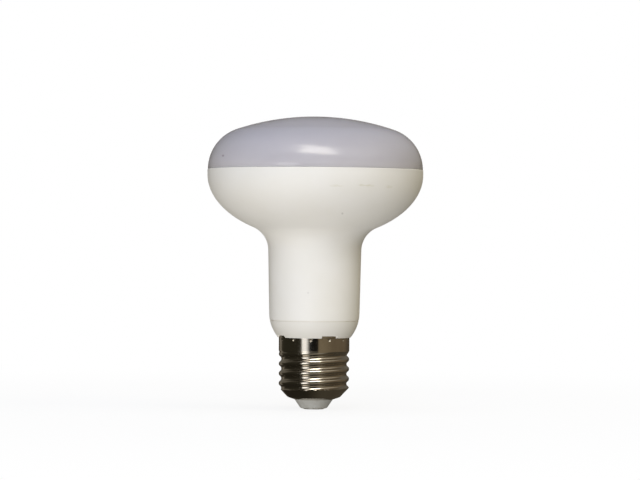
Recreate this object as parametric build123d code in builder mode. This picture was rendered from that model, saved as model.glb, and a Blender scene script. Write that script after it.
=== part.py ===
# Reflector lamp with a milky diffuser, a moulded housing and a 27 mm screw cap.
# Millimetres, +Z up along the lamp's axis, origin on the axis at the cap's rim,
# where the housing's lower edge meets the metal shell.

import os
from math import asin, atan2, cos, degrees, radians, sqrt

from build123d import *

# Diffuser: crown over a rounded corner, and the plug that seats in the housing's rim
head_diameter = 80.0
diffuser_height = 19.6
crown_radius = 91.5
rim_step = 0.15
lip_wall = 2.4
lip_depth = 3.0
seam_round = 0.2

# Housing: bulged head, waist, drafted neck and taper to the cap
equator_height = 60.3
rim_band = 1.9
shoulder_depth = 23.9
waist_round = 9.2
neck_top_diameter = 34.8
neck_bottom_diameter = 33.5
taper_height = 8.9
lower_edge_proud = 0.35
parting_height = 6.3
parting_groove = 0.15
spigot_length = 17.0

# Screw cap: rolled shell with a smooth skirt and a right-hand round thread
thread_diameter = 26.1
threads_per_inch = 7
thread_depth = 0.95
root_land = 0.5
thread_lead = 0.45
skirt_proud = 0.05
skirt_height = 5.0
skirt_step = 1.6
skirt_round = 1.0
shell_wall = 0.6
shell_height = 23.0
shoulder_height = 4.4
knee_height = 0.9
knee_inset = 2.35
knee_round = 1.8
turned_edge = 2.6
floor_rise = 1.3

# Stake marks and ears round the cap's rim, the first of each at the same angle
rim_angle = -65.0
stake_count = 12
stake_drop = 0.65
stake_radius = 0.6
stake_depth = 0.35
ear_count = 4
ear_arc = 24.0
ear_height = 0.8
ear_proud = 0.2

# Insulator cone, with its flange inside the shell
insulator_height = 3.3
insulator_taper = 2.3
insulator_edge = 1.2
flange_overlap = 1.5
flange_thickness = 1.5

# Centre contact: a flat rivet through the insulator
contact_margin = 1.05
contact_proud = 0.25
contact_sink = 0.25
contact_edge = 0.12
shank_diameter = 2.4
rivet_spread = 0.8
rivet_height = 0.7

# Room between a piece and its seat
fit_clearance = 0.05

# Radii and levels that the pieces share
inch = 25.4
head_radius = head_diameter / 2
diffuser_radius = head_radius - rim_step
seam_height = equator_height + rim_band
plug_radius = head_radius - lip_wall
neck_top_radius = neck_top_diameter / 2
thread_radius = thread_diameter / 2
thread_pitch = inch / threads_per_inch
root_radius = thread_radius - thread_depth
skirt_radius = thread_radius + skirt_proud
skirt_bore = skirt_radius - shell_wall
thread_bore = root_radius - shell_wall
bore_step = shell_wall - skirt_height
shell_bottom = -shell_height
knee_radius = root_radius - knee_inset
knee_level = shell_bottom + knee_height
shoulder_slope = (thread_radius - knee_radius) / (shoulder_height - knee_height)
envelope_radius = skirt_radius + ear_proud
opening_radius = knee_radius - turned_edge
floor_level = shell_bottom + floor_rise
floor_radius = (
    knee_radius
    + (floor_level - knee_level) * shoulder_slope
    - shell_wall * sqrt(1 + shoulder_slope**2)
)
flange_top = floor_level + flange_thickness
insulator_bottom = shell_bottom - insulator_height
insulator_tip_radius = opening_radius - insulator_taper
contact_radius = insulator_tip_radius - contact_margin
contact_seat = insulator_bottom + contact_sink
shank_radius = shank_diameter / 2

os.makedirs("parts", exist_ok=True)


# Ears of the cap and their notches in the housing are one low block, bent round the axis
def rim_block(inner_radius, outer_radius, height, arc):
    """A block on the rim plane, centred on +X."""
    with BuildPart() as block:
        with BuildSketch(Plane.XZ.rotated((0, 0, -arc / 2))):
            with Locations(((inner_radius + outer_radius) / 2, height / 2)):
                Rectangle(outer_radius - inner_radius, height)
        revolve(axis=Axis.Z, revolution_arc=arc)
    return block.part


# Diffuser: the corner arc leaves the seam upright, a fine step inside the housing's edge,
# and runs into the flatter crown
corner_radius = (2 * crown_radius * diffuser_height - diffuser_height**2 - diffuser_radius**2) / (
    2 * (crown_radius - diffuser_radius)
)
corner_turn = degrees(atan2(crown_radius - diffuser_height, diffuser_radius - corner_radius))

with BuildPart() as diffuser:
    with BuildSketch(Plane.XZ):
        with BuildLine():
            corner = JernArc((diffuser_radius, seam_height), (0, 1), corner_radius, corner_turn)
            crown = TangentArc(corner @ 1, (0, seam_height + diffuser_height), tangent=corner % 1)
            Polyline(
                crown @ 1,
                (0, seam_height - lip_depth),
                (plug_radius - fit_clearance, seam_height - lip_depth),
                (plug_radius - fit_clearance, seam_height),
                corner @ 0,
            )
        make_face()
    revolve(axis=Axis.Z)
    fillet(diffuser.edges().filter_by(Plane.XY).sort_by(SortBy.RADIUS)[-1], seam_round)
diffuser.part.label = "diffuser"
export_step(diffuser.part, "parts/diffuser.step")

# Housing: a quarter ellipse under the head, the neck and a tangent taper to the cap,
# with a stepped spigot that fills the shell's skirt and its threaded part
waist_share = neck_top_radius / head_radius
waist_height = equator_height - shoulder_depth * sqrt(1 - waist_share**2)
waist_turn = degrees(asin((waist_height - equator_height) / shoulder_depth))

with BuildPart() as housing:
    with BuildSketch(Plane.XZ):
        with BuildLine():
            head = EllipticalCenterArc(
                (0, equator_height), head_radius, shoulder_depth, arc_size=waist_turn
            )
            neck = Line(head @ 1, (neck_bottom_diameter / 2, taper_height))
            taper = TangentArc(neck @ 1, (skirt_radius + lower_edge_proud, 0), tangent=neck % 1)
            Polyline(
                taper @ 1,
                (skirt_bore - fit_clearance, 0),
                (skirt_bore - fit_clearance, bore_step + fit_clearance),
                (thread_bore - fit_clearance, bore_step + fit_clearance),
                (thread_bore - fit_clearance, -spigot_length),
                (0, -spigot_length),
                (0, seam_height - lip_depth - fit_clearance),
                (plug_radius, seam_height - lip_depth - fit_clearance),
                (plug_radius, seam_height),
                (head_radius, seam_height),
                head @ 0,
            )
        make_face()
    revolve(axis=Axis.Z)
    rings = housing.edges().filter_by(Plane.XY)
    fillet(rings.sort_by_distance((neck_top_radius, 0, waist_height))[0], waist_round)
    rings = housing.edges().filter_by(Plane.XY)
    fillet(rings.sort_by_distance((head_radius, 0, seam_height))[0], seam_round)
    # The parting line of the mould runs round the taper
    centre = taper.arc_center
    parting_radius = centre.X + sqrt(taper.radius**2 - (parting_height - centre.Y) ** 2)
    with Locations((0, 0, parting_height)):
        Torus(parting_radius, parting_groove, mode=Mode.SUBTRACT)
    # Notches in the lower edge take the ears of the cap
    notch_arc = ear_arc + 2 * degrees(fit_clearance / skirt_radius)
    notch = rim_block(
        skirt_bore - fit_clearance, neck_bottom_diameter / 2, ear_height + fit_clearance, notch_arc
    )
    with PolarLocations(0, ear_count, start_angle=rim_angle):
        add(notch, mode=Mode.SUBTRACT)
housing.part.label = "housing"
export_step(housing.part, "parts/housing.step")

# Screw cap: crest and root of the thread are arcs of one radius that meet halfway up
# the flank, and its ridge stands on a core that leaves a narrow land at the root
thread_round = (thread_pitch**2 / 4 + thread_depth**2) / (4 * thread_depth)
flank_turn = degrees(asin(thread_pitch / 4 / thread_round))
land_turn = degrees(asin(root_land / 2 / thread_round))
root_turn = flank_turn - land_turn / 2
core_radius = root_radius + thread_round * (1 - cos(radians(land_turn)))
root_centre = root_radius + thread_round
ridge_base = root_radius - shell_wall / 2
thread_bottom = shell_bottom + thread_lead
thread_rise = thread_pitch / 2 - skirt_height - thread_bottom

with BuildPart() as screw_cap:
    with Locations((0, 0, shell_bottom)):
        Cylinder(core_radius, shell_height, align=(Align.CENTER, Align.CENTER, Align.MIN))
    with BuildLine() as spiral:
        Helix(thread_pitch, thread_rise, root_radius, center=(0, 0, thread_bottom))
    with BuildSketch(Plane.XZ.shift_origin((0, 0, thread_bottom))):
        with BuildLine():
            CenterArc((thread_radius - thread_round, 0), thread_round, -flank_turn, 2 * flank_turn)
            upper = CenterArc(
                (root_centre, thread_pitch / 2), thread_round, 180 + flank_turn, -root_turn
            )
            lower = CenterArc(
                (root_centre, -thread_pitch / 2), thread_round, 180 - flank_turn, root_turn
            )
            Polyline(upper @ 1, (ridge_base, (upper @ 1).Y), (ridge_base, (lower @ 1).Y), lower @ 1)
        make_face()
    sweep(path=spiral.wire(), is_frenet=True)
    # The skirt covers the thread's upper end
    with BuildSketch(Plane.XZ):
        with BuildLine():
            skirt = FilletPolyline(
                (skirt_radius, 0),
                (skirt_radius, -skirt_height),
                (core_radius, -skirt_height - skirt_step),
                radius=skirt_round,
            )
            Polyline(skirt @ 1, (0, -skirt_height - skirt_step), (0, 0), skirt @ 0)
        make_face()
    revolve(axis=Axis.Z)
    # The cone of the shoulder lets the thread run out, and turns in under the knee
    with BuildSketch(Plane.XZ):
        with BuildLine():
            shoulder = FilletPolyline(
                (envelope_radius, knee_level + (envelope_radius - knee_radius) / shoulder_slope),
                (knee_radius, knee_level),
                (opening_radius, shell_bottom),
                radius=knee_round,
            )
            Polyline(shoulder @ 1, (0, shell_bottom), (0, 0), (envelope_radius, 0), shoulder @ 0)
        make_face()
    revolve(axis=Axis.Z, mode=Mode.INTERSECT)
    # The hollow follows the skirt, the thread's root and the shoulder, down to the floor
    with BuildSketch(Plane.XZ):
        with BuildLine():
            Polyline(
                (0, 0),
                (skirt_bore, 0),
                (skirt_bore, bore_step),
                (thread_bore, bore_step),
                (thread_bore, floor_level + (thread_bore - floor_radius) / shoulder_slope),
                (floor_radius, floor_level),
                (opening_radius, floor_level),
                (opening_radius, shell_bottom),
                (0, shell_bottom),
                close=True,
            )
        make_face()
    revolve(axis=Axis.Z, mode=Mode.SUBTRACT)
    ear = rim_block(skirt_bore, skirt_radius + ear_proud, ear_height, ear_arc)
    with PolarLocations(0, ear_count, start_angle=rim_angle):
        add(ear)
    with Locations((0, 0, -stake_drop)):
        with PolarLocations(skirt_radius + stake_radius - stake_depth, stake_count, start_angle=rim_angle):
            Sphere(stake_radius, mode=Mode.SUBTRACT)
screw_cap.part.label = "screw_cap"
export_step(screw_cap.part, "parts/screw_cap.step")

# Insulator: the cone outside, the plug through the shell's opening and the flange inside
with BuildPart() as cap_insulator:
    with BuildSketch(Plane.XZ):
        with BuildLine():
            Polyline(
                (shank_radius + fit_clearance, flange_top),
                (opening_radius + flange_overlap, flange_top),
                (opening_radius + flange_overlap, floor_level),
                (opening_radius - fit_clearance, floor_level),
                (opening_radius - fit_clearance, shell_bottom),
                (insulator_tip_radius, insulator_bottom),
                (contact_radius + fit_clearance, insulator_bottom),
                (contact_radius + fit_clearance, contact_seat),
                (shank_radius + fit_clearance, contact_seat),
                close=True,
            )
        make_face()
    revolve(axis=Axis.Z)
    rings = cap_insulator.edges().filter_by(Plane.XY)
    fillet(rings.sort_by_distance((insulator_tip_radius, 0, insulator_bottom))[0], insulator_edge)
cap_insulator.part.label = "cap_insulator"
export_step(cap_insulator.part, "parts/cap_insulator.step")

# Centre contact: flat head, shank and the end that is spread over the flange
with BuildPart() as centre_contact:
    with BuildSketch(Plane.XZ):
        with BuildLine():
            Polyline(
                (0, insulator_bottom - contact_proud),
                (contact_radius, insulator_bottom - contact_proud),
                (contact_radius, contact_seat),
                (shank_radius, contact_seat),
                (shank_radius, flange_top),
                (shank_radius + rivet_spread, flange_top),
                (shank_radius + rivet_spread, flange_top + rivet_height),
                (0, flange_top + rivet_height),
                close=True,
            )
        make_face()
    revolve(axis=Axis.Z)
    fillet(centre_contact.edges().filter_by(Plane.XY).group_by(Axis.Z)[0], contact_edge)
centre_contact.part.label = "centre_contact"
export_step(centre_contact.part, "parts/centre_contact.step")
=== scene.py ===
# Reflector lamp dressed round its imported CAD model, in metres: +Z runs up the lamp's axis,
# the origin is at the screw cap's rim, and the side that the photo shows faces -Y.

from math import acos, asin, atan2, cos, dist, pi, radians, sin, sqrt, tan

import bmesh
import bpy
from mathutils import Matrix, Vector


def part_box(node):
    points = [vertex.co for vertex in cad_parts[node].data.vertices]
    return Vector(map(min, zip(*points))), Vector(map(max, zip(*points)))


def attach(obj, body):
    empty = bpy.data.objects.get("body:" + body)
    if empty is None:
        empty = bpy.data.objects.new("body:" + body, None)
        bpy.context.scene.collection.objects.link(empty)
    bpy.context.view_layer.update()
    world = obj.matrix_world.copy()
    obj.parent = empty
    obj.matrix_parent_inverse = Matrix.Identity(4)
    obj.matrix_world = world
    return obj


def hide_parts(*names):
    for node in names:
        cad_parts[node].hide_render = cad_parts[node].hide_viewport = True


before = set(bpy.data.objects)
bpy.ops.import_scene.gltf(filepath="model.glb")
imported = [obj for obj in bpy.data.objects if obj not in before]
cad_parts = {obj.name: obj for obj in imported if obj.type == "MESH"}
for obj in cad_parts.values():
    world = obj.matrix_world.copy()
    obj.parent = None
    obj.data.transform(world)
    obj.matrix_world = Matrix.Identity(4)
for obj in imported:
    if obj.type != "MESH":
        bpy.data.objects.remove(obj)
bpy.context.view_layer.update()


# Housing: one white plastic moulding, from the rim that takes the diffuser, over the bulged
# head and the drafted neck, to the taper above the cap. Its satin skin has the mould's fine
# parting line, a few scuffs from handling, and notches in the lower edge for the cap's ears.
mm = 0.001
spigot_bottom, seam_height = (corner.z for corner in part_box("housing"))
clearance = 0.05 * mm
head_radius = 40.0 * mm
seam_round = 0.2 * mm
equator_height = 60.3 * mm
shoulder_depth = 23.9 * mm
waist_round = 9.2 * mm
neck_top_radius = 17.4 * mm
neck_bottom_radius = 16.75 * mm
taper_height = 8.9 * mm
lower_edge_radius = 13.45 * mm
parting_height = 6.3 * mm
parting_groove = 0.15 * mm
recess_radius = 37.6 * mm
recess_height = 59.15 * mm
collar_radius = 12.45 * mm
collar_height = -4.35 * mm
spigot_radius = 11.45 * mm
ear_count = 4
first_ear = radians(-65.0)
ear_arc = radians(24.0)
ear_height = 0.8 * mm
notch_arc = radians(24.44)
notch_height = ear_height + clearance
head_steps = 64
housing_columns = 360
merge_distance = 0.001 * mm


def angle_of(way):
    """Angle of a direction in the profile plane, from the radius axis."""
    return atan2(way.y, way.x)


def arc(centre, radius, start, end, steps):
    """Points of an arc in the profile plane, with its angles in radians from the radius axis."""
    angles = [start + (end - start) * i / steps for i in range(steps + 1)]
    return [(centre[0] + radius * cos(a), centre[1] + radius * sin(a)) for a in angles]


def rounded(before, corner, after, radius, steps):
    """The arc that rounds the corner of a profile between its two neighbours."""
    corner = Vector(corner)
    to_before = (Vector(before) - corner).normalized()
    to_after = (Vector(after) - corner).normalized()
    half_angle = acos(to_before.dot(to_after)) / 2
    centre = corner + (to_before + to_after).normalized() * radius / sin(half_angle)
    reach = radius / tan(half_angle)
    start = angle_of(corner + to_before * reach - centre)
    end = angle_of(corner + to_after * reach - centre)
    turn = (end - start + pi) % (2 * pi) - pi
    return arc(centre, radius, start, start + turn, steps)


def straight(first, last, steps):
    """Points along a straight run of a profile."""
    return [tuple(Vector(first).lerp(Vector(last), i / steps)) for i in range(steps + 1)]


def joined(*runs):
    """One profile from runs of points, with the points that two runs share kept once."""
    points = []
    for point in (p for run in runs for p in run):
        if not points or dist(points[-1], point) > merge_distance:
            points.append(tuple(point))
    return points


neck_top_height = equator_height - shoulder_depth * sqrt(1 - (neck_top_radius / head_radius) ** 2)
neck_top = Vector((neck_top_radius, neck_top_height))
neck_bottom = Vector((neck_bottom_radius, taper_height))
neck_way = (neck_bottom - neck_top).normalized()
neck_out = Vector((-neck_way.y, neck_way.x))


def head_point(turn):
    """Point of the head's ellipse at a turn from the equator."""
    return Vector((head_radius * cos(turn), equator_height + shoulder_depth * sin(turn)))


# The waist's rounding touches the head's ellipse and the neck's line: its place is halved in on
halvings = 50
waist_turn, equator_turn = -acos(neck_top_radius / head_radius), 0.0
for _ in range(halvings):
    head_turn = (waist_turn + equator_turn) / 2
    head_out = Vector((cos(head_turn) / head_radius, sin(head_turn) / shoulder_depth)).normalized()
    waist_centre = head_point(head_turn) + head_out * waist_round
    if (waist_centre - neck_top).dot(neck_out) > waist_round:
        equator_turn = head_turn
    else:
        waist_turn = head_turn

lower_edge = Vector((lower_edge_radius, 0.0))
drop = lower_edge - neck_bottom
taper_radius = drop.length_squared / (2 * drop.dot(-neck_out))
taper_centre = neck_bottom - neck_out * taper_radius


def taper_angle(height):
    """Angle on the taper's arc at a height."""
    return asin((height - taper_centre.y) / taper_radius)


notch_angle = taper_angle(notch_height)
groove_angle = taper_angle(parting_height)
groove_half = parting_groove / taper_radius
groove_centre = taper_centre + Vector((cos(groove_angle), sin(groove_angle))) * taper_radius

housing_profile = joined(
    straight((0.0, recess_height), (recess_radius, recess_height), steps=4),
    [(recess_radius, seam_height)],
    rounded(
        (recess_radius, seam_height),
        (head_radius, seam_height),
        (head_radius, equator_height),
        seam_round,
        steps=6,
    ),
    straight((head_radius, seam_height - seam_round), (head_radius, equator_height), steps=4),
    [head_point(head_turn * i / head_steps) for i in range(head_steps + 1)],
    arc(waist_centre, waist_round, angle_of(-head_out), angle_of(-neck_out), steps=24),
    straight(waist_centre - neck_out * waist_round, neck_bottom, steps=16),
    arc(taper_centre, taper_radius, angle_of(neck_out), groove_angle + groove_half, steps=6),
    arc(groove_centre, parting_groove, groove_angle + pi / 2, groove_angle + 3 * pi / 2, steps=8),
    arc(taper_centre, taper_radius, groove_angle - groove_half, notch_angle, steps=18),
    arc(taper_centre, taper_radius, notch_angle, taper_angle(0.0), steps=3),
    [
        (collar_radius, 0.0),
        (collar_radius, collar_height),
        (spigot_radius, collar_height),
        (spigot_radius, spigot_bottom),
        (0.0, spigot_bottom),
    ],
)


class Signal:
    """An output socket of a node tree: operators add Math nodes, node() adds any other node."""

    def __init__(self, tree, socket=None):
        self.tree = tree
        self.socket = socket

    def node(self, kind, settings=None, inputs=None, output=0):
        """A node whose settings come first, then the values or links of its sockets."""
        made = self.tree.nodes.new(kind)
        for name, value in (settings or {}).items():
            setattr(made, name, value)
        for name, value in (inputs or {}).items():
            if isinstance(value, Signal):
                self.tree.links.new(value.socket, made.inputs[name])
            else:
                made.inputs[name].default_value = value
        return Signal(self.tree, made.outputs[output] if made.outputs else None)

    def also(self, output):
        """Another output of the same node."""
        return Signal(self.tree, self.socket.node.outputs[output])

    def math(self, operation, *others):
        """A Math node on this signal and the others, in that order."""
        operands = dict(enumerate((self, *others)))
        return self.node("ShaderNodeMath", {"operation": operation}, operands)

    def __add__(self, other):
        return self.math("ADD", other)

    def __mul__(self, other):
        return self.math("MULTIPLY", other)

    def __sub__(self, other):
        return self.math("SUBTRACT", other)

    def __truediv__(self, other):
        return self.math("DIVIDE", other)

    def __rsub__(self, other):
        return self.node("ShaderNodeMath", {"operation": "SUBTRACT"}, {0: other, 1: self})

    def __neg__(self):
        return self * -1

    __radd__ = __add__
    __rmul__ = __mul__


def split(place):
    """The x, y and z of a place, as signals."""
    x = place.node("ShaderNodeSeparateXYZ", None, {0: place})
    return x, x.also("Y"), x.also("Z")


def off_axis(x, y):
    """How far a place is from the lamp's axis."""
    return (x * x + y * y).math("SQRT")


def spoke(angle, reach, height):
    """A vector that points from the axis at an angle, with its reach and its height."""
    return angle.node(
        "ShaderNodeCombineXYZ",
        None,
        {"X": angle.math("COSINE") * reach, "Y": angle.math("SINE") * reach, "Z": height},
    )


def tree_with(name, sizes):
    """A Geometry Nodes tree with a profile, named sizes and a material, as signals by name."""
    tree = bpy.data.node_groups.new(name, "GeometryNodeTree")
    kinds = {"Profile": "Geometry", "Columns": "Int"} | dict.fromkeys(sizes, "Float")
    for label, kind in (kinds | {"Material": "Material"}).items():
        tree.interface.new_socket(label, in_out="INPUT", socket_type=f"NodeSocket{kind}")
    tree.interface.new_socket("Form", in_out="OUTPUT", socket_type="NodeSocketGeometry")
    entry = Signal(tree).node("NodeGroupInput")
    return {label: entry.also(label) for label in (*kinds, "Material")}


def mark_of(form, name):
    """A number that the rows of a profile carry under that name."""
    return form.node("GeometryNodeInputNamedAttribute", {"data_type": "FLOAT"}, {"Name": name})


def swept_round(given, marks=()):
    """Nodes that turn the profile round the axis and keep the marks of its rows."""
    profile = given["Profile"]
    rows = profile.node("GeometryNodeAttributeDomainSize", None, {"Geometry": profile})
    form = profile.node(
        "GeometryNodeMeshGrid",
        None,
        {"Size X": 1.0, "Size Y": 1.0, "Vertices X": rows, "Vertices Y": given["Columns"] + 1},
    )
    place = profile.node("GeometryNodeInputPosition")
    along, across, _ = split(place)
    row = ((along + 0.5) * (rows - 1)).math("ROUND")
    angle = (across + 0.5) * (2 * pi)

    def of_row(kind, value):
        return profile.node(
            "GeometryNodeSampleIndex",
            {"data_type": kind, "domain": "POINT"},
            {"Geometry": profile, "Value": value, "Index": row},
        )

    for mark in marks:
        form = form.node(
            "GeometryNodeStoreNamedAttribute",
            {"data_type": "FLOAT", "domain": "POINT"},
            {"Geometry": form, "Name": mark, "Value": of_row("FLOAT", mark_of(profile, mark))},
        )
    radius, _, height = split(of_row("FLOAT_VECTOR", place))
    turned = spoke(angle, radius, height)
    return form.node("GeometryNodeSetPosition", None, {"Geometry": form, "Position": turned})


def around(form):
    """The radius, angle and height of a form's points, as signals."""
    x, y, height = split(form.node("GeometryNodeInputPosition"))
    return off_axis(x, y), y.math("ARCTAN2", x), height


def off_nearest(angle, first, count):
    """How far an angle is from the nearest of some places, spread evenly round the axis."""
    half_step = pi / count
    return (angle - first).math("WRAP", half_step, -half_step).math("ABSOLUTE")


def moved(form, outwards, upwards):
    """Nodes that move a form's points away from the axis and up."""
    _, angle, _ = around(form)
    offset = spoke(angle, outwards, upwards)
    return form.node("GeometryNodeSetPosition", None, {"Geometry": form, "Offset": offset})


def closed_form(form, material):
    """Nodes that close the seam and the poles, and end the tree."""
    form = form.node(
        "GeometryNodeMergeByDistance", None, {"Geometry": form, "Distance": merge_distance}
    )
    form = form.node("GeometryNodeSetShadeSmooth", None, {"Geometry": form})
    form = form.node("GeometryNodeRealizeInstances", None, {"Geometry": form})
    form = form.node("GeometryNodeSetMaterial", None, {"Geometry": form, "Material": material})
    form.node("NodeGroupOutput", None, {"Form": form})
    return form.tree


# Rule of the lower edge: inside a notch, its rows are lifted to the notch's ceiling
notch_sizes = {"Notch Height": notch_height, "Notch Arc": notch_arc, "First Notch": first_ear}
given = tree_with("notched housing", notch_sizes)
form = swept_round(given)
_, angle, height = around(form)
off_notch = off_nearest(angle, given["First Notch"], ear_count)
in_notch = off_notch.math("LESS_THAN", given["Notch Arc"] / 2)
below_ceiling = height.math("LESS_THAN", given["Notch Height"])
at_edge = height.math("GREATER_THAN", -merge_distance) * below_ceiling
form = moved(form, 0.0, (given["Notch Height"] - height) * in_notch * at_edge)
housing_tree = closed_form(form, given["Material"])


def finish(name, constants):
    """A material, its shader's sockets with these constants set, and where its points are."""
    material = bpy.data.materials.new(name)
    material.use_nodes = True
    sockets = material.node_tree.nodes["Principled BSDF"].inputs
    for label, value in constants.items():
        sockets[label].default_value = value
    place = Signal(material.node_tree).node("ShaderNodeTexCoord", output="Object")
    return material, sockets, place


def feed(signal, socket):
    """Link a signal to a socket of its tree."""
    signal.tree.links.new(signal.socket, socket)


def noise(place, scale, detail, stretch=None):
    """Noise from 0 to 1, with about scale cells in a metre, stretched along the axes if asked."""
    if stretch:
        place = place.node(
            "ShaderNodeVectorMath", {"operation": "MULTIPLY"}, {0: place, 1: stretch}
        )
    return place.node(
        "ShaderNodeTexNoise", None, {"Vector": place, "Scale": scale, "Detail": detail}
    )


def blended(share, first, second):
    """Colour that goes from the first to the second as the share goes from 0 to 1."""
    colour_a, colour_b, colour_result = 6, 7, 2
    inputs = {0: share, colour_a: first, colour_b: second}
    return share.node("ShaderNodeMix", {"data_type": "RGBA"}, inputs, colour_result)


def step(signal, low, high):
    """0 below low, 1 above high, and smooth between."""
    return signal.node(
        "ShaderNodeMapRange",
        {"interpolation_type": "SMOOTHSTEP"},
        {"Value": signal, "From Min": low, "From Max": high},
    )


def ranged(signal, low, high):
    """A signal of 0 to 1, made to run from low to high."""
    return low + signal * (high - low)


def grain(place, sockets, scale, depth):
    """Fine unevenness of a surface, as a bump of that depth."""
    bump = place.node(
        "ShaderNodeBump",
        None,
        {"Strength": 1.0, "Distance": depth, "Height": noise(place, scale, detail=3.0)},
    )
    feed(bump, sockets["Normal"])


def marks_on_front(place, spots):
    """Mask of soft spots on the side towards -Y, as x, z, half width, half height and strength."""
    front_fade = 2.0 * mm
    x, y, z = split(place)
    total = 0.0
    for spot_x, spot_z, half_width, half_height, strength in spots:
        across = (x - spot_x) / half_width
        up = (z - spot_z) / half_height
        total = step(1 - (across * across + up * up), 0.0, 1.0) * strength + total
    return total * step(-y, 0.0, front_fade)


# White satin plastic: slightly warm and mottled, with yellowish scuffs and specks. Painted shade
# darkens it below the parting line, most next to the cap, and darkens the parting groove
white = (0.80, 0.785, 0.75, 1.0)
white_shade = (0.785, 0.768, 0.725, 1.0)
# Painted shade below the parting line, darkest next to the cap
painted_shade_white = (0.670, 0.648, 0.597, 1.0)
painted_shade_fade = 0.55
painted_shade_heights = (-6.3 * mm, 8.3 * mm)
# Painted shade in the parting groove
groove_shade_colour = (0.62, 0.56, 0.47, 1.0)
groove_shade_share = 0.3
groove_shade_edge = (0.1 * mm, 0.26 * mm)
satin_roughness = (0.42, 0.54)
scuff_colour = (0.60, 0.57, 0.42, 1.0)
scuffs = [
    (7.6 * mm, 55.5 * mm, 3.2 * mm, 0.6 * mm, 0.28),
    (16.6 * mm, 55.8 * mm, 1.6 * mm, 0.6 * mm, 0.42),
    (19.4 * mm, 55.7 * mm, 2.2 * mm, 0.7 * mm, 0.55),
    (26.7 * mm, 55.5 * mm, 1.6 * mm, 0.7 * mm, 0.36),
]
speck_colour = (0.42, 0.40, 0.38, 1.0)
housing_specks = [
    (9.9 * mm, 45.7 * mm, 0.5 * mm, 0.5 * mm, 0.45),
    (-2.3 * mm, 16.8 * mm, 0.5 * mm, 0.5 * mm, 0.22),
]

housing_plastic, sockets, place = finish("housing plastic", {"Specular IOR Level": 0.45})
_, _, height = split(place)
mottle = step(noise(place, scale=70.0, detail=3.0), low=0.35, high=0.7)
colour = blended(mottle, white, white_shade)
smear = noise(place, scale=900.0, detail=4.0, stretch=(0.5, 0.5, 1.6))
smeared_scuffs = marks_on_front(place, scuffs) * step(smear, low=0.38, high=0.6)
colour = blended(smeared_scuffs, colour, scuff_colour)
colour = blended(marks_on_front(place, housing_specks), colour, speck_colour)
# Painted shade: below the parting line the white is darkened, most towards the cap
below_line = 1 - step(height, parting_height - parting_groove, parting_height + parting_groove)
painted_shade_share = below_line * (1 - step(height, *painted_shade_heights) * painted_shade_fade)
colour = blended(painted_shade_share, colour, painted_shade_white)
# Painted shade: the parting groove is darkened and browned
in_groove = 1 - step((height - parting_height).math("ABSOLUTE"), *groove_shade_edge)
colour = blended(in_groove * groove_shade_share, colour, groove_shade_colour)
feed(colour, sockets["Base Color"])
feed(ranged(noise(place, scale=240.0, detail=3.0), *satin_roughness), sockets["Roughness"])
grain(place, sockets, scale=2600.0, depth=0.006 * mm)


def added(name, data):
    """A new object in the scene."""
    made = bpy.data.objects.new(name, data)
    bpy.context.scene.collection.objects.link(made)
    return made


def turned_piece(name, tree, profile, columns, material, sizes=None, marks=None):
    """A plain mesh from a profile, whose points run down the outside, and a tree that turns it."""
    sharp_angle = radians(32.0)
    inputs = {"Columns": columns, "Material": material} | (sizes or {})
    marks = marks or {}
    rows = bpy.data.meshes.new(name)
    rows.from_pydata([(radius, 0.0, height) for radius, height in profile], [], [])
    for mark, values in marks.items():
        rows.attributes.new(mark, "FLOAT", "POINT").data.foreach_set("value", values)
    piece = added(name, rows)
    modifier = piece.modifiers.new("form", "NODES")
    modifier.node_group = tree
    for socket in tree.interface.items_tree:
        if socket.in_out == "INPUT" and socket.name in inputs:
            modifier[socket.identifier] = inputs[socket.name]
    form = piece.evaluated_get(bpy.context.evaluated_depsgraph_get())
    piece.data = bpy.data.meshes.new_from_object(form)
    piece.modifiers.remove(modifier)
    for mark in marks:
        piece.data.attributes.remove(piece.data.attributes[mark])
    bpy.data.meshes.remove(rows)
    piece.data.name = name
    piece.data.set_sharp_from_angle(angle=sharp_angle)
    return piece


housing = turned_piece(
    "housing_moulding",
    housing_tree,
    housing_profile,
    housing_columns,
    housing_plastic,
    notch_sizes,
)
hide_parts("housing")
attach(housing, "root")


# Diffuser: a milky dome of glossy polycarbonate that scatters the light. It is moulded in one
# piece, with a flat crown on a round corner, and its plug is snapped and glued into the rim.
plug_bottom, dome_top = (corner.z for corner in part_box("diffuser"))
dome_radius = 39.85 * mm
crown_radius = 91.5 * mm
plug_radius = recess_radius - clearance
dome_columns = 360

dome_height = dome_top - seam_height
corner_radius = (2 * crown_radius * dome_height - dome_height**2 - dome_radius**2) / (
    2 * (crown_radius - dome_radius)
)
corner_centre = (dome_radius - corner_radius, seam_height)
corner_turn = atan2(crown_radius - dome_height, dome_radius - corner_radius)
crown_centre = (0.0, dome_top - crown_radius)

diffuser_profile = joined(
    arc(crown_centre, crown_radius, pi / 2, corner_turn, steps=44),
    arc(corner_centre, corner_radius, corner_turn, seam_round / corner_radius, steps=48),
    rounded(
        (dome_radius, dome_top),
        (dome_radius, seam_height),
        (plug_radius, seam_height),
        seam_round,
        steps=6,
    ),
    [(plug_radius, seam_height), (plug_radius, plug_bottom), (0.0, plug_bottom)],
)

given = tree_with("turned form", {})
turned_tree = closed_form(swept_round(given), given["Material"])

# Milky plastic with one dark speck on the left, and painted light: paler towards the edge and at
# the seam
milky = (0.460, 0.449, 0.496, 1.0)
# Painted light: paler tones towards the dome's edge and at its seam
painted_edge_light = (0.530, 0.512, 0.545, 1.0)
edge_light_radii = (33.0 * mm, 43.0 * mm)
edge_light_wander = 4.0 * mm
painted_seam_light = (0.555, 0.534, 0.562, 1.0)
seam_light_height = 4.0 * mm
gloss_roughness = (0.09, 0.17)
diffuser_speck_colour = (0.20, 0.14, 0.17, 1.0)
diffuser_speck = [(-33.6 * mm, 66.5 * mm, 0.55 * mm, 0.55 * mm, 0.55)]

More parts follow.
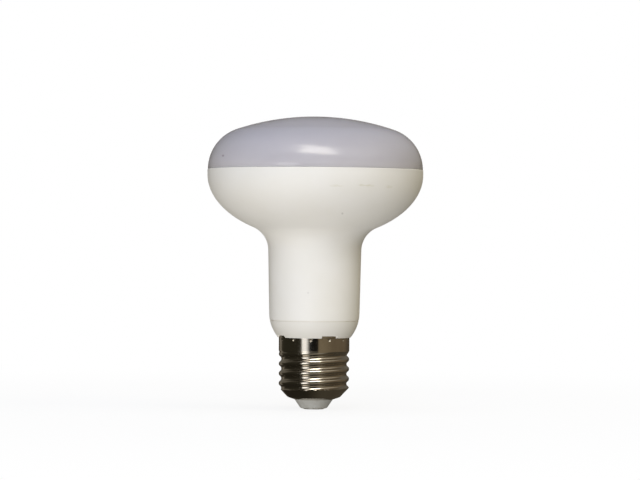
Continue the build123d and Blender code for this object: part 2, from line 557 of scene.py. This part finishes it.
diffuser_plastic, sockets, place = finish(
    "diffuser plastic",
    {
        "IOR": 1.5,
        "Subsurface Weight": 1.0,
        "Subsurface Scale": 3.0 * mm,
        "Subsurface Radius": (1.0, 1.0, 1.0),
    },
)
x, y, height = split(place)
wander = noise(place, scale=45.0, detail=3.0) * edge_light_wander
# Painted light: the dome is paler towards its edge and next to the seam
colour = blended(step(off_axis(x, y) + wander, *edge_light_radii), milky, painted_edge_light)
seam_light_share = 1 - step(height, seam_height, seam_height + seam_light_height)
colour = blended(seam_light_share, colour, painted_seam_light)
colour = blended(marks_on_front(place, diffuser_speck), colour, diffuser_speck_colour)
feed(colour, sockets["Base Color"])
wiped = noise(place, scale=160.0, detail=4.0, stretch=(1.0, 1.0, 3.0))
feed(ranged(wiped, *gloss_roughness), sockets["Roughness"])
grain(place, sockets, scale=420.0, depth=0.008 * mm)

diffuser = turned_piece(
    "diffuser_dome", turned_tree, diffuser_profile, dome_columns, diffuser_plastic
)
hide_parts("diffuser")
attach(diffuser, "root")


# Screw cap: a nickel-plated shell of thin sheet, with a coarse round thread rolled into it. A
# ring of punched stakes and four ears hold it on the housing, and its lower edge is turned in.
shell_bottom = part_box("screw_cap")[0].z
sheet = 0.6 * mm
skirt_radius = 13.1 * mm
skirt_height = 5.0 * mm
skirt_step = 1.6 * mm
skirt_round = 1.0 * mm
crest_radius = 13.05 * mm
thread_depth = 0.95 * mm
thread_pitch = 25.4 * mm / 7
thread_start = -22.55 * mm
thread_blend = 0.12 * mm
thread_row = 0.12 * mm
shoulder_height = 4.4 * mm
knee_radius = 9.75 * mm
knee_level = -22.1 * mm
knee_round = 1.8 * mm
opening_radius = 7.15 * mm
shelf_level = -21.7 * mm
stake_count = 12
stake_drop = 0.65 * mm
stake_radius = 0.6 * mm
stake_depth = 0.35 * mm
struck_height = 1.4 * mm
ear_proud = 0.2 * mm
cap_columns = 480

root_radius = crest_radius - thread_depth
core_radius = root_radius - 2 * thread_blend
skirt_bore = skirt_radius - sheet
thread_bore = root_radius - sheet
bore_step = sheet - skirt_height
shoulder_slope = (crest_radius - knee_radius) / (shell_bottom + shoulder_height - knee_level)
shelf_radius = (
    knee_radius
    + (shelf_level - knee_level) * shoulder_slope
    - sheet * sqrt(1 + shoulder_slope**2)
)
bore_foot = shelf_level + (thread_bore - shelf_radius) / shoulder_slope
shoulder_top = (core_radius, knee_level + (core_radius - knee_radius) / shoulder_slope)

# Rows of the rim stand for an ear: each has its radius, and its shares of an ear's height and
# of its step outwards. The rows below are struck by the stakes, and further down rolled.
ear_rows = [
    (skirt_bore, 0.0, 0.0),
    (skirt_bore, 1.0, 0.0),
    (skirt_radius, 1.0, 0.5),
    (skirt_radius, 0.85, 1.0),
    (skirt_radius, 0.5, 1.0),
    (skirt_radius, 0.15, 1.0),
    (skirt_radius, 0.0, 0.7),
    (skirt_radius, 0.0, 0.0),
]
rim_rows = [(radius, 0.0) for radius, _, _ in ear_rows]
skirt_foot = (root_radius, -skirt_height - skirt_step)
skirt_edge = rounded(
    (skirt_radius, 0.0), (skirt_radius, -skirt_height), skirt_foot, skirt_round, steps=10
)
struck_rows = joined(
    straight((skirt_radius, -thread_row), (skirt_radius, -struck_height), steps=16),
    straight((skirt_radius, -struck_height), skirt_edge[0], steps=8),
)
thread_top = (core_radius, skirt_foot[1])
thread_rows = round((thread_top[1] - shoulder_top[1]) / thread_row)
rolled_rows = joined(
    skirt_edge[1:],
    straight(skirt_edge[-1], skirt_foot, steps=8)[:-1],
    straight(thread_top, shoulder_top, steps=thread_rows),
)
knee = rounded(
    shoulder_top,
    (knee_radius, knee_level),
    (opening_radius, shell_bottom),
    knee_round,
    steps=12,
)
inside_rows = joined(
    straight(shoulder_top, knee[0], steps=6)[1:],
    knee,
    [
        (opening_radius, shell_bottom),
        (opening_radius, shelf_level),
        (shelf_radius, shelf_level),
        (thread_bore, bore_foot),
        (thread_bore, bore_step),
        (skirt_bore, bore_step),
        (skirt_bore, 0.0),
    ],
)
cap_profile = rim_rows + struck_rows + rolled_rows + inside_rows
plain = [0.0] * (len(cap_profile) - len(rim_rows))
cap_marks = {
    "lift": [lift for _, lift, _ in ear_rows] + plain,
    "proud": [proud for _, _, proud in ear_rows] + plain,
    "struck": [float(row in struck_rows) for row in cap_profile],
    "rolled": [float(row in rolled_rows) for row in cap_profile],
}

# Rule of the thread: its crest and root are arcs of one radius that meet halfway up the flank,
# and the shoulder's cone cuts it off. The stakes are dents by round punches.
cap_sizes = {
    "Pitch": thread_pitch,
    "Crest Radius": crest_radius,
    "Depth": thread_depth,
    "Thread Start": thread_start,
    "Knee Radius": knee_radius,
    "Knee Level": knee_level,
    "Shoulder Slope": shoulder_slope,
    "Blend": thread_blend,
    "Stake Drop": stake_drop,
    "Stake Radius": stake_radius,
    "Stake Depth": stake_depth,
    "Ear Arc": ear_arc,
    "Ear Height": ear_height,
    "Ear Proud": ear_proud,
    "First Ear": first_ear,
}
given = tree_with("rolled cap", cap_sizes)
form = swept_round(given, cap_marks)
radius, angle, height = around(form)
pitch, depth, blend = given["Pitch"], given["Depth"], given["Blend"]
turns = (height - given["Thread Start"]) / pitch - angle / (2 * pi)
off_crest = turns.math("WRAP", 0.5, -0.5).math("ABSOLUTE") * pitch
near_crest = off_crest.math("MINIMUM", pitch / 4)
near_root = (pitch / 2 - off_crest).math("MINIMUM", pitch / 4)
round_radius = (pitch * pitch / 4 + depth * depth) / (depth * 4)
square = round_radius * round_radius
thread = (
    given["Crest Radius"]
    - depth / 2
    + (square - near_crest * near_crest).math("SQRT")
    - (square - near_root * near_root).math("SQRT")
)
cone = given["Knee Radius"] + (height - given["Knee Level"]) * given["Shoulder Slope"]
rolled = thread.math("SMOOTH_MIN", cone, blend).math("SMOOTH_MAX", radius, blend)
off_stake = off_nearest(angle, given["First Ear"], stake_count) * radius
below_stake = height + given["Stake Drop"]
punch = given["Stake Radius"]
reach = punch * punch - off_stake * off_stake - below_stake * below_stake
dent = reach.math("MAXIMUM", 0.0).math("SQRT") - (punch - given["Stake Depth"])
growth = (rolled - radius) * mark_of(form, "rolled")
form = moved(form, growth - dent.math("MAXIMUM", 0.0) * mark_of(form, "struck"), 0.0)
_, angle, _ = around(form)
off_ear = off_nearest(angle, given["First Ear"], ear_count)
in_ear = off_ear.math("LESS_THAN", given["Ear Arc"] / 2)
form = moved(
    form,
    mark_of(form, "proud") * in_ear * given["Ear Proud"],
    mark_of(form, "lift") * in_ear * given["Ear Height"],
)
cap_tree = closed_form(form, given["Material"])

nickel = (0.60, 0.555, 0.49, 1.0)
nickel_dull = (0.53, 0.485, 0.42, 1.0)
nickel_roughness = (0.09, 0.19)
cap_nickel, sockets, place = finish("cap nickel", {"Metallic": 1.0})
tarnish = step(noise(place, scale=180.0, detail=4.0), low=0.42, high=0.72)
feed(blended(tarnish, nickel, nickel_dull), sockets["Base Color"])
rubbed = noise(place, scale=420.0, detail=4.0, stretch=(1.0, 1.0, 4.0))
feed(ranged(rubbed, *nickel_roughness), sockets["Roughness"])
grain(place, sockets, scale=900.0, depth=0.0015 * mm)

cap = turned_piece(
    "cap_shell", cap_tree, cap_profile, cap_columns, cap_nickel, cap_sizes, cap_marks
)
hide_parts("screw_cap")
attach(cap, "root")


# Insulator: a pale grey moulded cone that keeps the centre contact off the shell. It comes
# through the shell's opening from inside, where its flange rests on the turned-in edge.
insulator_bottom, flange_top = (corner.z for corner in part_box("cap_insulator"))
flange_radius = 8.65 * mm
insulator_seat_radius = opening_radius - clearance
insulator_tip_radius = 4.85 * mm
insulator_edge = 1.2 * mm
contact_hole_radius = 3.85 * mm
contact_seat = -26.05 * mm
shank_hole_radius = 1.25 * mm
insulator_columns = 160

insulator_tip = rounded(
    (insulator_seat_radius, shell_bottom),
    (insulator_tip_radius, insulator_bottom),
    (contact_hole_radius, insulator_bottom),
    insulator_edge,
    steps=10,
)
insulator_profile = joined(
    [
        (shank_hole_radius, flange_top),
        (flange_radius, flange_top),
        (flange_radius, shelf_level),
        (insulator_seat_radius, shelf_level),
    ],
    straight((insulator_seat_radius, shell_bottom), insulator_tip[0], steps=8),
    insulator_tip,
    [
        (contact_hole_radius, insulator_bottom),
        (contact_hole_radius, contact_seat),
        (shank_hole_radius, contact_seat),
        (shank_hole_radius, flange_top),
    ],
)

pale_grey = (0.400, 0.400, 0.380, 1.0)
pale_grey_stain = (0.350, 0.343, 0.318, 1.0)
insulator_roughness = (0.42, 0.57)
insulator_plastic, sockets, place = finish("insulator plastic", {})
stain = step(noise(place, scale=320.0, detail=4.0), low=0.4, high=0.75)
feed(blended(stain, pale_grey, pale_grey_stain), sockets["Base Color"])
feed(ranged(noise(place, scale=500.0, detail=2.0), *insulator_roughness), sockets["Roughness"])
grain(place, sockets, scale=3000.0, depth=0.008 * mm)

insulator = turned_piece(
    "insulator_cone", turned_tree, insulator_profile, insulator_columns, insulator_plastic
)
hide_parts("cap_insulator")
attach(insulator, "root")


# Centre contact: a tinned rivet, the lamp's second pole. Its flat head lies in the insulator's
# seat, and its shank goes up through the cone and is spread over the flange.
contact_bottom, rivet_top = (corner.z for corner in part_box("centre_contact"))
contact_radius = contact_hole_radius - clearance
contact_edge = 0.12 * mm
shank_radius = shank_hole_radius - clearance
rivet_radius = 2.0 * mm
contact_columns = 96

contact_profile = joined(
    [
        (0.0, rivet_top),
        (rivet_radius, rivet_top),
        (rivet_radius, flange_top),
        (shank_radius, flange_top),
        (shank_radius, contact_seat),
        (contact_radius, contact_seat),
    ],
    rounded(
        (contact_radius, contact_seat),
        (contact_radius, contact_bottom),
        (0.0, contact_bottom),
        contact_edge,
        steps=5,
    ),
    [(0.0, contact_bottom)],
)

tin = (0.66, 0.645, 0.61, 1.0)
tin_worn = (0.56, 0.52, 0.44, 1.0)
tin_roughness = (0.26, 0.51)
contact_metal, sockets, place = finish("contact metal", {"Metallic": 1.0})
scratches = noise(place, scale=500.0, detail=4.0, stretch=(1.0, 6.0, 1.0))
feed(blended(step(scratches, low=0.4, high=0.7), tin, tin_worn), sockets["Base Color"])
feed(ranged(scratches, *tin_roughness), sockets["Roughness"])
grain(place, sockets, scale=1500.0, depth=0.003 * mm)

contact = turned_piece(
    "contact_rivet", turned_tree, contact_profile, contact_columns, contact_metal
)
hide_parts("centre_contact")
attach(contact, "root")


# Stage: a pale floor just under the lamp's tip, a white background and soft lights. Reflections
# see a dim room instead, with a bright strip on the left, a panel above and brown on the right.
floor_half = 6.0
floor_height = contact_bottom - clearance
floor_corners = [(-1, -1), (1, -1), (1, 1), (-1, 1)]
floor_grey = (0.85, 0.85, 0.85, 1.0)
floor_whiteness = 0.88
shadow_fade = (0.05, 0.35)
pure_white = (1.0, 1.0, 1.0, 1.0)

floor = added("floor", bpy.data.meshes.new("floor"))
floor.data.from_pydata(
    [(x * floor_half, y * floor_half, floor_height) for x, y in floor_corners],
    [],
    [(0, 1, 2, 3)],
)
floor_paint, sockets, place = finish(
    "floor paint", {"Base Color": floor_grey, "Roughness": 0.9, "Specular IOR Level": 0.0}
)
floor.data.materials.append(floor_paint)

# The camera sees the floor as nearly white: a faint shadow tints it close to the lamp
x, y, _ = split(place)
seen = place.node("ShaderNodeLightPath", output="Is Camera Ray")
whitened = seen * ranged(step(off_axis(x, y), *shadow_fade), floor_whiteness, 1.0)
paint = Signal(place.tree, place.tree.nodes["Principled BSDF"].outputs[0])
white_glow = place.node("ShaderNodeEmission", None, {"Color": pure_white})
mix = place.node("ShaderNodeMixShader", None, {0: whitened, 1: paint, 2: white_glow})
feed(mix, place.tree.nodes["Material Output"].inputs["Surface"])
floor.visible_glossy = False
floor.visible_diffuse = False
floor.visible_shadow = False

room_radius = 3.0
room = added("room", bpy.data.meshes.new("room"))
ball = bmesh.new()
bmesh.ops.create_uvsphere(ball, u_segments=64, v_segments=32, radius=room_radius)
ball.to_mesh(room.data)
ball.free()
room_glow = bpy.data.materials.new("room glow")
room_glow.use_nodes = True
room_glow.node_tree.nodes.clear()
room.data.materials.append(room_glow)
room.visible_camera = False
room.visible_diffuse = False
room.visible_shadow = False
room.visible_transmission = False

dark_wall = (0.030, 0.027, 0.018, 1.0)
black_wall = (0.006, 0.006, 0.005, 1.0)
brown_wall = (0.232, 0.190, 0.126, 1.0)
brown_corner = (0.165, 0.130, 0.085, 1.0)
back_wall = (0.080, 0.066, 0.046, 1.0)
pale_back = (0.155, 0.142, 0.118, 1.0)
rear_strip = (0.22, 0.20, 0.165, 1.0)
dark_ceiling = (0.045, 0.040, 0.030, 1.0)
brown_ceiling = (0.14, 0.115, 0.075, 1.0)
dark_ground = (0.024, 0.021, 0.015, 1.0)
brown_ground = (0.07, 0.060, 0.043, 1.0)
pale_ground = (0.32, 0.30, 0.25, 1.0)
strip_light = (1.40, 1.41, 1.44, 1.0)
strip_end = (3.4, 3.35, 3.25, 1.0)
panel_glow = (0.65, 0.60, 0.50, 1.0)
panel_end = (2.0, 1.93, 1.75, 1.0)
panel_core = (8.6, 8.3, 7.3, 1.0)

# Where each tone lies, in degrees: bearings count from the front, positive to the right, turns
# to either side, heights up from level and depths down. A tone comes in over the first two
# numbers, and goes out over the last two where there are four. Sides are metres to the right.
black_bearings = (-44, -40)
brown_bearings = (13, 15)
corner_bearings = (25, 75)
back_turns = (110, 150)
pale_back_turns = (95, 125)
pale_back_heights = (3, 12)
ceiling_heights = (18, 34)
ceiling_sides = (-0.4, 1.0)
ground_depths = (14, 24)
ground_sides = (-1.0, 1.0)
pale_ground_bearings = (-50, -40, 25, 55)
pale_ground_depths = (14, 24, 52, 66)
strip_bearings = (-41.5, -39, -28, -13)
strip_depths = (-16, -10, 18, 28)
strip_middle = 2
strip_end_offsets = (6, 12)
rear_strip_bearings = (-150, -146, -134, -130)
panel_slope = 0.15
panel_glow_bearings = (-50, -30, 45, 120)
panel_glow_heights = (32, 38, 56, 66)
panel_end_bearings = (-39, -31, 26, 38)
panel_end_heights = (36, 40, 52, 62)
panel_core_bearings = (-23, -15, 16, 28)
panel_core_heights = (35, 39, 52, 66)
panel_streaks = (0.65, 1.0)


def between(signal, low, low_end, high, high_end):
    """1 from low_end to high, 0 outside low and high_end, and smooth between."""
    return step(signal, low, low_end) * (1 - step(signal, high, high_end))


place = Signal(room_glow.node_tree).node("ShaderNodeTexCoord", output="Object")
x, y, z = split(place)
bearing = x.math("ARCTAN2", -y).math("DEGREES")
turn = bearing.math("ABSOLUTE")
raised = (z / room_radius).math("ARCSINE").math("DEGREES")
lowered = -raised

wall = blended(step(bearing, *black_bearings), dark_wall, black_wall)
brown = blended(step(bearing, *corner_bearings), brown_wall, brown_corner)
wall = blended(step(bearing, *brown_bearings), wall, brown)
wall = blended(step(turn, *back_turns), wall, back_wall)
ceiling = blended(step(x, *ceiling_sides), dark_ceiling, brown_ceiling)
tone = blended(step(raised, *ceiling_heights), wall, ceiling)
upper_back = step(turn, *pale_back_turns) * step(raised, *pale_back_heights)
tone = blended(upper_back, tone, pale_back)

ground = blended(step(x, *ground_sides), dark_ground, brown_ground)
pale_patch = between(bearing, *pale_ground_bearings) * between(lowered, *pale_ground_depths)
ground = blended(pale_patch, ground, pale_ground)
tone = blended(step(lowered, *ground_depths), tone, ground)

off_middle = (lowered - strip_middle).math("ABSOLUTE")
strip_tone = blended(step(off_middle, *strip_end_offsets), strip_light, strip_end)
strip_reach = between(lowered, *strip_depths)
tone = blended(between(bearing, *strip_bearings) * strip_reach, tone, strip_tone)
tone = blended(between(bearing, *rear_strip_bearings) * strip_reach, tone, rear_strip)

leaning = raised + bearing * panel_slope
in_glow = between(bearing, *panel_glow_bearings) * between(leaning, *panel_glow_heights)
tone = blended(in_glow, tone, panel_glow)
in_end = between(bearing, *panel_end_bearings) * between(leaning, *panel_end_heights)
tone = blended(in_end, tone, panel_end)
in_core = between(bearing, *panel_core_bearings) * between(leaning, *panel_core_heights)
streaks = step(noise(place, scale=3.2, detail=3.0), low=0.35, high=0.6)
tone = blended(in_core * ranged(streaks, *panel_streaks), tone, panel_core)
glow = place.node("ShaderNodeEmission", None, {"Color": tone})
place.node("ShaderNodeOutputMaterial", None, {"Surface": glow})

ambient = (0.223, 0.210, 0.174, 1.0)
world = bpy.data.worlds.new("studio")
bpy.context.scene.world = world
world.use_nodes = True
world.node_tree.nodes.clear()
camera_ray = Signal(world.node_tree).node("ShaderNodeLightPath", output="Is Camera Ray")
white_rays = camera_ray.math("MAXIMUM", camera_ray.also("Is Glossy Ray"))
white_rays = white_rays.math("MAXIMUM", camera_ray.also("Is Transmission Ray"))
sky_tone = blended(white_rays, ambient, pure_white)
sky = sky_tone.node("ShaderNodeBackground", None, {"Color": sky_tone})
sky.node("ShaderNodeOutputWorld", None, {"Surface": sky})

light_distance = 1.2
aim_height = 45.0 * mm
near_white = (1.0, 0.99, 0.99)
cool_white = (0.77, 0.84, 1.0)
sky_white = (0.81, 0.86, 1.0)
amber = (1.0, 0.89, 0.62)
warm_white = (1.0, 0.98, 0.95)


def soft_light(name, azimuth, elevation, size, watts, colour):
    """An area light aimed at the lamp; azimuth 0 is the photo's side and positive is its right."""
    source = bpy.data.lights.new(name, "AREA")
    source.shape = "RECTANGLE"
    source.size, source.size_y = size
    source.energy = watts
    source.color = colour
    turn, rise = radians(azimuth), radians(elevation)
    way = Vector((cos(rise) * sin(turn), -cos(rise) * cos(turn), sin(rise)))
    light = added(name, source)
    light.location = Vector((0.0, 0.0, aim_height)) + way * light_distance
    light.rotation_euler = way.to_track_quat("Z", "Y").to_euler()
    light.visible_glossy = False
    light.visible_camera = False


soft_light("front low", azimuth=-18, elevation=-30, size=(0.9, 0.6), watts=10.45, colour=near_white)
soft_light("front high", azimuth=-10, elevation=35, size=(0.6, 0.5), watts=5.2, colour=cool_white)
soft_light("top", azimuth=0, elevation=85, size=(1.0, 1.0), watts=7.9, colour=sky_white)
soft_light("right high", azimuth=75, elevation=40, size=(0.6, 0.6), watts=4.2, colour=amber)
soft_light("back fill", azimuth=180, elevation=10, size=(0.9, 1.6), watts=5.5, colour=warm_white)

# Camera: level and far off, a little above the lamp's middle, with the photo's framing and lean
viewing_distance = 1.032
viewing_height = 36.1 * mm
viewing_shift = 1.9 * mm
viewing_lean = radians(-0.43)
camera = added("camera", bpy.data.cameras.new("camera"))
camera.data.sensor_width = 36.0
camera.data.lens = 156.5
camera.location = (viewing_shift, -viewing_distance, viewing_height)
camera.rotation_euler = (pi / 2, viewing_lean, 0.0)
bpy.context.scene.camera = camera
bpy.context.scene.view_settings.view_transform = "Standard"
